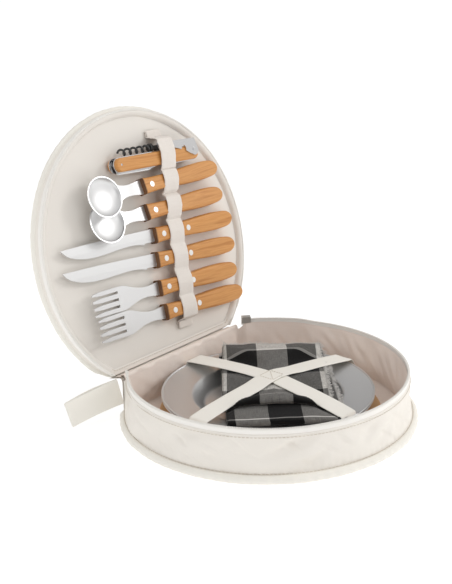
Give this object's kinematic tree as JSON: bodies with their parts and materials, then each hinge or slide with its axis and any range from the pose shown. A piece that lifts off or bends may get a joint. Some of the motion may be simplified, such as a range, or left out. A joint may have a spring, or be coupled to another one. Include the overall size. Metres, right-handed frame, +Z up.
{
  "type": "picnic cutlery case",
  "caption": "Round zip-up canvas picnic case standing open, with wood-handled cutlery and a corkscrew in the lid and steel plates, a board and check napkins strapped in the base.",
  "frame": {"origin": "centre of the base's round underside, on the surface it stands on", "axes": "+Z up, +X along the fabric hinge, +Y from the front of the case towards the hinge"},
  "size_m": [0.2682, 0.3194, 0.2639],
  "materials": {
    "canvas": "natural cotton canvas, plain weave",
    "canvas_binding": "canvas binding rolled over the seam",
    "stiffener": "stiffening board inside the canvas",
    "lining": "plain cotton lining",
    "zip_tape": "woven zip tape",
    "zip_teeth": "nylon coil",
    "zip_metal": "plated zinc",
    "webbing": "flat woven tape",
    "board_wood": "oiled wood, sanded",
    "handle_wood": "lacquered honey wood",
    "plate_steel": "mirror-polished stainless steel",
    "cutlery_steel": "polished stainless steel",
    "rivet_steel": "polished rivet heads",
    "corkscrew_chrome": "chromed steel",
    "black_steel": "black non-stick coating",
    "napkin_cotton": "woven gingham check"
  },
  "bodies": {
    "case_base": {"base_floor_panel": "canvas", "base_floor_board": "stiffener", "base_side_band": "canvas", "base_lining": "lining", "base_bottom_piping": "canvas_binding", "base_zip_tape": "zip_tape", "base_zip_teeth": "zip_teeth", "base_spine": "canvas", "strap_front_to_back": "webbing", "strap_side_to_side": "webbing"},
    "lid": {"lid_outer_panel": "canvas", "lid_padded_board": "stiffener", "lid_side_band": "canvas", "lid_lining": "lining", "lid_piping": "canvas_binding", "lid_zip_tape": "zip_tape", "lid_zip_teeth": "zip_teeth", "lid_spine": "canvas", "cutlery_tape": "webbing"},
    "zip_slider": {"zip_slider": "zip_metal"},
    "zip_pull": {"zip_pull": "zip_metal"},
    "carry_handle": {"carry_handle": "webbing"},
    "cutting_board": {"cutting_board": "board_wood"},
    "lower_plate": {"lower_plate": "plate_steel"},
    "upper_plate": {"upper_plate": "plate_steel"},
    "napkins": {"napkin_lower": "napkin_cotton", "napkin_upper": "napkin_cotton"},
    "corkscrew": {"corkscrew_frame": "corkscrew_chrome", "corkscrew_scale_front": "handle_wood", "corkscrew_scale_back": "handle_wood", "corkscrew_pins": "corkscrew_chrome"},
    "corkscrew_lever": {"corkscrew_lever": "corkscrew_chrome"},
    "corkscrew_worm": {"corkscrew_worm": "black_steel"},
    "foil_blade": {"corkscrew_foil_blade": "cutlery_steel"},
    "spoon_1": {"spoon_1_head": "cutlery_steel", "spoon_1_handle": "handle_wood", "spoon_1_rivets": "rivet_steel"},
    "spoon_2": {"spoon_2_head": "cutlery_steel", "spoon_2_handle": "handle_wood", "spoon_2_rivets": "rivet_steel"},
    "knife_1": {"knife_1_blade": "cutlery_steel", "knife_1_handle": "handle_wood", "knife_1_rivets": "rivet_steel"},
    "knife_2": {"knife_2_blade": "cutlery_steel", "knife_2_handle": "handle_wood", "knife_2_rivets": "rivet_steel"},
    "fork_1": {"fork_1_head": "cutlery_steel", "fork_1_handle": "handle_wood", "fork_1_rivets": "rivet_steel"},
    "fork_2": {"fork_2_head": "cutlery_steel", "fork_2_handle": "handle_wood", "fork_2_rivets": "rivet_steel"}
  },
  "joints": [
    {"name": "lid_hinge", "type": "hinge", "parent": "case_base", "child": "lid", "pos_m": [0, 0.104, 0.0385], "axis": [-1, 0, 0], "range_deg": [-105, 75], "deforming": ["lid_spine", "carry_handle"]},
    {"name": "zip_slide_round", "type": "hinge", "parent": "case_base", "child": "zip_slider", "pos_m": [0, 0, 0.0462], "axis": [0, 0, -1], "range_deg": [0, 262]},
    {"name": "zip_pull_swing", "type": "hinge", "parent": "zip_slider", "child": "zip_pull", "pos_m": [0.09047, 0.10047, 0.0462], "axis": [0.7431, -0.6691, 0], "range_deg": [0, 100]},
    {"name": "carry_handle_swing", "type": "hinge", "parent": "case_base", "child": "carry_handle", "pos_m": [-0.0865, 0.1032, 0.0265], "axis": [0, 0, 1], "range_deg": [-25, 40]},
    {"name": "board_lift", "type": "slide", "parent": "case_base", "child": "cutting_board", "axis": [0, 0, 1], "range_m": [0, 0.12], "deforming": ["strap_front_to_back", "strap_side_to_side"]},
    {"name": "lower_plate_lift", "type": "slide", "parent": "cutting_board", "child": "lower_plate", "axis": [0, 0, 1], "range_m": [0, 0.1], "deforming": ["strap_front_to_back", "strap_side_to_side"]},
    {"name": "upper_plate_lift", "type": "slide", "parent": "lower_plate", "child": "upper_plate", "axis": [0, 0, 1], "range_m": [0, 0.1], "deforming": ["strap_front_to_back", "strap_side_to_side"]},
    {"name": "napkins_lift", "type": "slide", "parent": "upper_plate", "child": "napkins", "axis": [0, 0, 1], "range_m": [0, 0.1], "deforming": ["strap_front_to_back", "strap_side_to_side"]},
    {"name": "spoon_1_slide", "type": "slide", "parent": "lid", "child": "spoon_1", "axis": [-0.9987, -0.0444, 0.0263], "range_m": [0, 0.034], "deforming": ["cutlery_tape"]},
    {"name": "spoon_2_slide", "type": "slide", "parent": "lid", "child": "spoon_2", "axis": [-0.999, -0.0158, 0.0422], "range_m": [0, 0.075], "deforming": ["cutlery_tape"]},
    {"name": "knife_1_slide", "type": "slide", "parent": "lid", "child": "knife_1", "axis": [-0.9981, 0.0158, 0.059], "range_m": [0, 0.04], "deforming": ["cutlery_tape"]},
    {"name": "knife_2_slide", "type": "slide", "parent": "lid", "child": "knife_2", "axis": [-0.996, 0.023, 0.0859], "range_m": [0, 0.084], "deforming": ["cutlery_tape"]},
    {"name": "fork_1_slide", "type": "slide", "parent": "lid", "child": "fork_1", "axis": [-0.9972, 0.0194, 0.0724], "range_m": [0, 0.082], "deforming": ["cutlery_tape"]},
    {"name": "fork_2_slide", "type": "slide", "parent": "lid", "child": "fork_2", "axis": [-0.9973, 0.019, 0.0707], "range_m": [0, 0.086], "deforming": ["cutlery_tape"]},
    {"name": "corkscrew_slide", "type": "slide", "parent": "lid", "child": "corkscrew", "axis": [-0.9982, 0.0153, 0.0573], "range_m": [0, 0.012], "deforming": ["cutlery_tape"]},
    {"name": "corkscrew_lever_hinge", "type": "hinge", "parent": "corkscrew", "child": "corkscrew_lever", "pos_m": [0.07457, 0.15499, 0.2141], "axis": [0, 0.9659, -0.2588], "range_deg": [0, 150], "deforming": ["cutlery_tape"]},
    {"name": "corkscrew_worm_hinge", "type": "hinge", "parent": "corkscrew", "child": "corkscrew_worm", "pos_m": [0.03265, 0.15563, 0.21651], "axis": [0, 0.9659, -0.2588], "range_deg": [0, 90]},
    {"name": "foil_blade_hinge", "type": "hinge", "parent": "corkscrew", "child": "foil_blade", "pos_m": [-0.02337, 0.15597, 0.21779], "axis": [0, 0.9659, -0.2588], "range_deg": [0, 3]}
  ]
}
